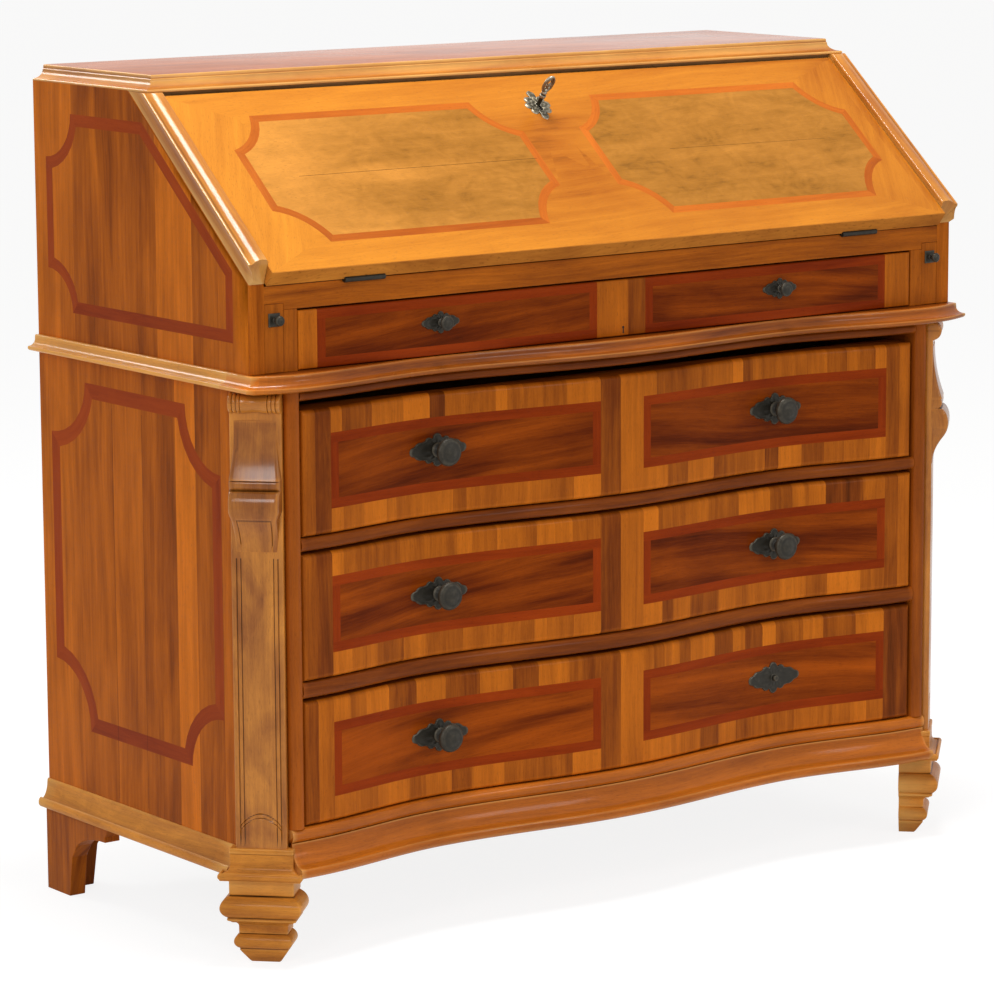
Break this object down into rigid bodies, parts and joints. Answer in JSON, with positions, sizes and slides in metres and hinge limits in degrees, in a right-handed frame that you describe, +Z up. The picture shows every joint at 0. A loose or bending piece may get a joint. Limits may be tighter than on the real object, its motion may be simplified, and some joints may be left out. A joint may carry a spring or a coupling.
{
  "type": "drop-front cabinet",
  "caption": "Slant-front writing bureau: hinged fall with sliding supports over a shallow drawer and long serpentine drawers, canted scrolled corners, on moulded feet.",
  "frame": {"origin": "middle of the footprint on the floor", "axes": "+X to the right of a person facing the front, +Y from the front to the back, +Z up"},
  "size_m": [1.1634, 0.518, 1.0505],
  "materials": {
    "case_wood": "red-brown walnut veneer, french polished",
    "front_veneer": "golden-brown walnut marquetry, french polished",
    "pale_wood": "pale golden walnut, french polished",
    "inner_wood": "plain softwood and oak, waxed",
    "old_bronze": "dark patinated brass",
    "brass": "dulled brass",
    "steel": "worn steel"
  },
  "bodies": {
    "case": {"side_left": "case_wood", "side_right": "case_wood", "back_boards": "inner_wood", "top_board": "pale_wood", "bottom_board": "inner_wood", "bed_board": "front_veneer", "fall_rail": "front_veneer", "top_rail": "inner_wood", "slant_strip_left": "pale_wood", "slant_strip_right": "pale_wood", "waist_board": "pale_wood", "waist_moulding_left": "pale_wood", "waist_moulding_right": "pale_wood", "drawer_rail_top": "pale_wood", "drawer_rail_upper": "pale_wood", "drawer_rail_lower": "pale_wood", "base_apron": "pale_wood", "stile_left": "pale_wood", "stile_right": "pale_wood", "loper_partition_left": "front_veneer", "loper_partition_right": "front_veneer", "drawer_runners": "inner_wood", "pilaster_left": "pale_wood", "pilaster_right": "pale_wood", "corner_block_left": "pale_wood", "corner_block_right": "pale_wood", "base_moulding_left": "pale_wood", "base_moulding_right": "pale_wood", "foot_front_left": "case_wood", "foot_front_right": "case_wood", "foot_rear_left": "case_wood", "foot_rear_right": "case_wood", "hinge_fixed_leaves": "brass", "hinge_pins": "brass", "lock_strike": "brass", "gallery_frame": "inner_wood"},
    "fall": {"fall_panel": "front_veneer", "hinge_moving_leaves": "brass", "lock_case": "brass", "escutcheon": "old_bronze"},
    "lock_bolt": {"lock_bolt": "steel"},
    "key": {"key": "steel"},
    "loper_left": {"loper_left": "front_veneer", "loper_pull_left": "old_bronze"},
    "loper_right": {"loper_right": "front_veneer", "loper_pull_right": "old_bronze"},
    "shallow_drawer": {"shallow_drawer_front": "front_veneer", "shallow_drawer_box": "inner_wood", "shallow_drawer_knobs": "old_bronze"},
    "upper_drawer": {"upper_drawer_front": "front_veneer", "upper_drawer_box": "inner_wood", "upper_drawer_pulls": "old_bronze"},
    "middle_drawer": {"middle_drawer_front": "front_veneer", "middle_drawer_box": "inner_wood", "middle_drawer_pulls": "old_bronze"},
    "lower_drawer": {"lower_drawer_front": "front_veneer", "lower_drawer_box": "inner_wood", "lower_drawer_pulls": "old_bronze"},
    "gallery_drawer_left": {"gallery_drawer_left": "front_veneer"},
    "gallery_drawer_right": {"gallery_drawer_right": "front_veneer"}
  },
  "joints": [
    {"name": "fall_hinge", "type": "hinge", "parent": "case", "child": "fall", "pos_m": [0, -0.2245, 0.8175], "axis": [1, 0, 0], "range_deg": [0, 140.5]},
    {"name": "key_turn", "type": "hinge", "parent": "fall", "child": "key", "pos_m": [0.003, -0.03468, 0.97398], "axis": [0, -0.6361, 0.7716], "range_deg": [0, 90]},
    {"name": "bolt_slide", "type": "slide", "parent": "fall", "child": "lock_bolt", "axis": [0, 0.7716, 0.6361], "range_m": [0, 0.01]},
    {"name": "loper_left_slide", "type": "slide", "parent": "case", "child": "loper_left", "axis": [0, -1, 0], "range_m": [0, 0.3]},
    {"name": "loper_right_slide", "type": "slide", "parent": "case", "child": "loper_right", "axis": [0, -1, 0], "range_m": [0, 0.3]},
    {"name": "shallow_drawer_slide", "type": "slide", "parent": "case", "child": "shallow_drawer", "axis": [0, -1, 0], "range_m": [0, 0.33]},
    {"name": "upper_drawer_slide", "type": "slide", "parent": "case", "child": "upper_drawer", "axis": [0, -1, 0], "range_m": [0, 0.34]},
    {"name": "middle_drawer_slide", "type": "slide", "parent": "case", "child": "middle_drawer", "axis": [0, -1, 0], "range_m": [0, 0.34]},
    {"name": "lower_drawer_slide", "type": "slide", "parent": "case", "child": "lower_drawer", "axis": [0, -1, 0], "range_m": [0, 0.34]},
    {"name": "gallery_drawer_left_slide", "type": "slide", "parent": "case", "child": "gallery_drawer_left", "axis": [0, -1, 0], "range_m": [0, 0.13]},
    {"name": "gallery_drawer_right_slide", "type": "slide", "parent": "case", "child": "gallery_drawer_right", "axis": [0, -1, 0], "range_m": [0, 0.13]}
  ],
  "couplings": [
    {"joint": "key_turn", "follows": "bolt_slide", "rad_per_m": 157.07}
  ]
}
